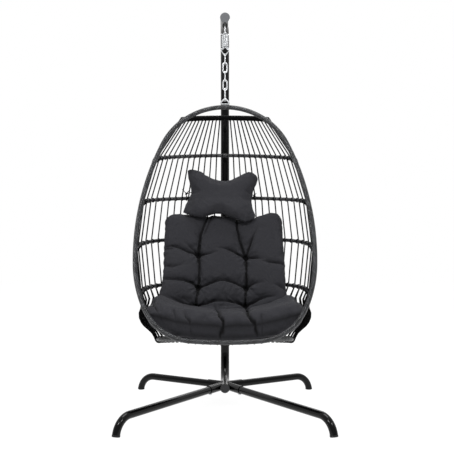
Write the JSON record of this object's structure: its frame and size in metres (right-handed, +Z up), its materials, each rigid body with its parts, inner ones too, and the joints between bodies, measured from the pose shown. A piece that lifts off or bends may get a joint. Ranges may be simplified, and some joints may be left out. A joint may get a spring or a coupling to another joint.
{
  "type": "hanging egg chair",
  "caption": "Egg-shaped basket laced with cord, with a tufted seat cushion and head pillow, hung by a spring and chain from a C-shaped tube stand on splayed legs.",
  "frame": {"origin": "on the floor, at the middle of the four feet", "axes": "+X to the sitter's left seen from behind the post, which is the viewer's right from the front; +Y to the back, towards the post; +Z up"},
  "size_m": [0.9456, 0.9455, 1.8963],
  "materials": {
    "paint": "gloss black stoved paint on steel tube",
    "plug": "moulded grey end plug",
    "foot_rubber": "matt black foot plug",
    "zinc": "bright zinc-plated wire",
    "wicker": "tube bound with flat synthetic wicker, dark grey",
    "cord": "round synthetic wicker cord, black",
    "cloth": "charcoal woven polyester over soft filling"
  },
  "bodies": {
    "stand": {"base_hub": "paint", "hub_cap": "plug", "post_collar": "paint", "upper_post": "paint", "arm_cap": "plug", "arm_eye": "paint", "leg_front_left": "paint", "leg_front_right": "paint", "leg_rear_left": "paint", "leg_rear_right": "paint", "foot_caps": "foot_rubber", "leg_bolts": "zinc"},
    "upper_hook": {"upper_hook": "zinc"},
    "upper_gate": {"upper_gate": "zinc"},
    "spring": {"upper_drawbar": "zinc", "spring_coil": "zinc"},
    "lower_drawbar": {"lower_drawbar": "zinc"},
    "link_a": {"link_a": "zinc"},
    "link_b": {"link_b": "zinc"},
    "link_c": {"link_c": "zinc"},
    "link_d": {"link_d": "zinc"},
    "lower_hook": {"lower_hook": "zinc"},
    "lower_gate": {"lower_gate": "zinc"},
    "basket": {"hang_ring": "paint", "rim": "wicker", "top_bar": "wicker", "shoulder_hoop": "wicker", "head_hoop": "wicker", "waist_hoop": "wicker", "seat_hoop": "wicker", "bottom_bar": "wicker", "side_cords": "cord", "floor_cords_set": "cord", "cushion": "cloth", "head_pillow": "cloth", "pillow_ties": "cloth"}
  },
  "joints": [
    {"name": "upper_hook_swing", "type": "hinge", "parent": "stand", "child": "upper_hook", "pos_m": [0, 0.02, 1.8385], "axis": [1, 0, 0], "range_deg": [-10, 6]},
    {"name": "upper_gate_pivot", "type": "hinge", "parent": "upper_hook", "child": "upper_gate", "pos_m": [0, 0.011, 1.8217], "axis": [-1, 0, 0], "range_deg": [0, 15], "stiffness_Nm_per_rad": 0.02, "springref_deg": -17.19},
    {"name": "spring_sway", "type": "hinge", "parent": "upper_hook", "child": "spring", "pos_m": [0, 0.02, 1.8093], "axis": [0, 1, 0], "range_deg": [-8, 8]},
    {"name": "spring_stroke", "type": "slide", "parent": "spring", "child": "lower_drawbar", "axis": [0, 0, -1], "range_m": [0, 0.016], "stiffness_N_per_m": 20000, "springref_m": -0.01, "deforming": ["spring_coil"]},
    {"name": "link_a_swing", "type": "hinge", "parent": "lower_drawbar", "child": "link_a", "pos_m": [0, 0.02, 1.7066], "axis": [-1, 0, 0], "range_deg": [-5, 10]},
    {"name": "link_b_sway", "type": "hinge", "parent": "link_a", "child": "link_b", "pos_m": [0, 0.02, 1.66435], "axis": [0, 1, 0], "range_deg": [-8, 8]},
    {"name": "link_c_turn", "type": "hinge", "parent": "link_b", "child": "link_c", "pos_m": [0, 0.02, 1.62235], "axis": [0, 0, 1], "range_deg": [-18, 18]},
    {"name": "link_d_sway", "type": "hinge", "parent": "link_c", "child": "link_d", "pos_m": [0, 0.02, 1.58035], "axis": [0, 1, 0], "range_deg": [-8, 8]},
    {"name": "lower_hook_swing", "type": "hinge", "parent": "link_d", "child": "lower_hook", "pos_m": [0, 0.02, 1.53835], "axis": [1, 0, 0], "range_deg": [-10, 6]},
    {"name": "lower_gate_pivot", "type": "hinge", "parent": "lower_hook", "child": "lower_gate", "pos_m": [0, 0.008, 1.5028], "axis": [-1, 0, 0], "range_deg": [0, 15], "stiffness_Nm_per_rad": 0.02, "springref_deg": -17.19},
    {"name": "basket_turn", "type": "hinge", "parent": "lower_hook", "child": "basket", "pos_m": [0, 0.02, 1.4869], "axis": [0, 0, 1], "range_deg": [-18, 18]}
  ]
}
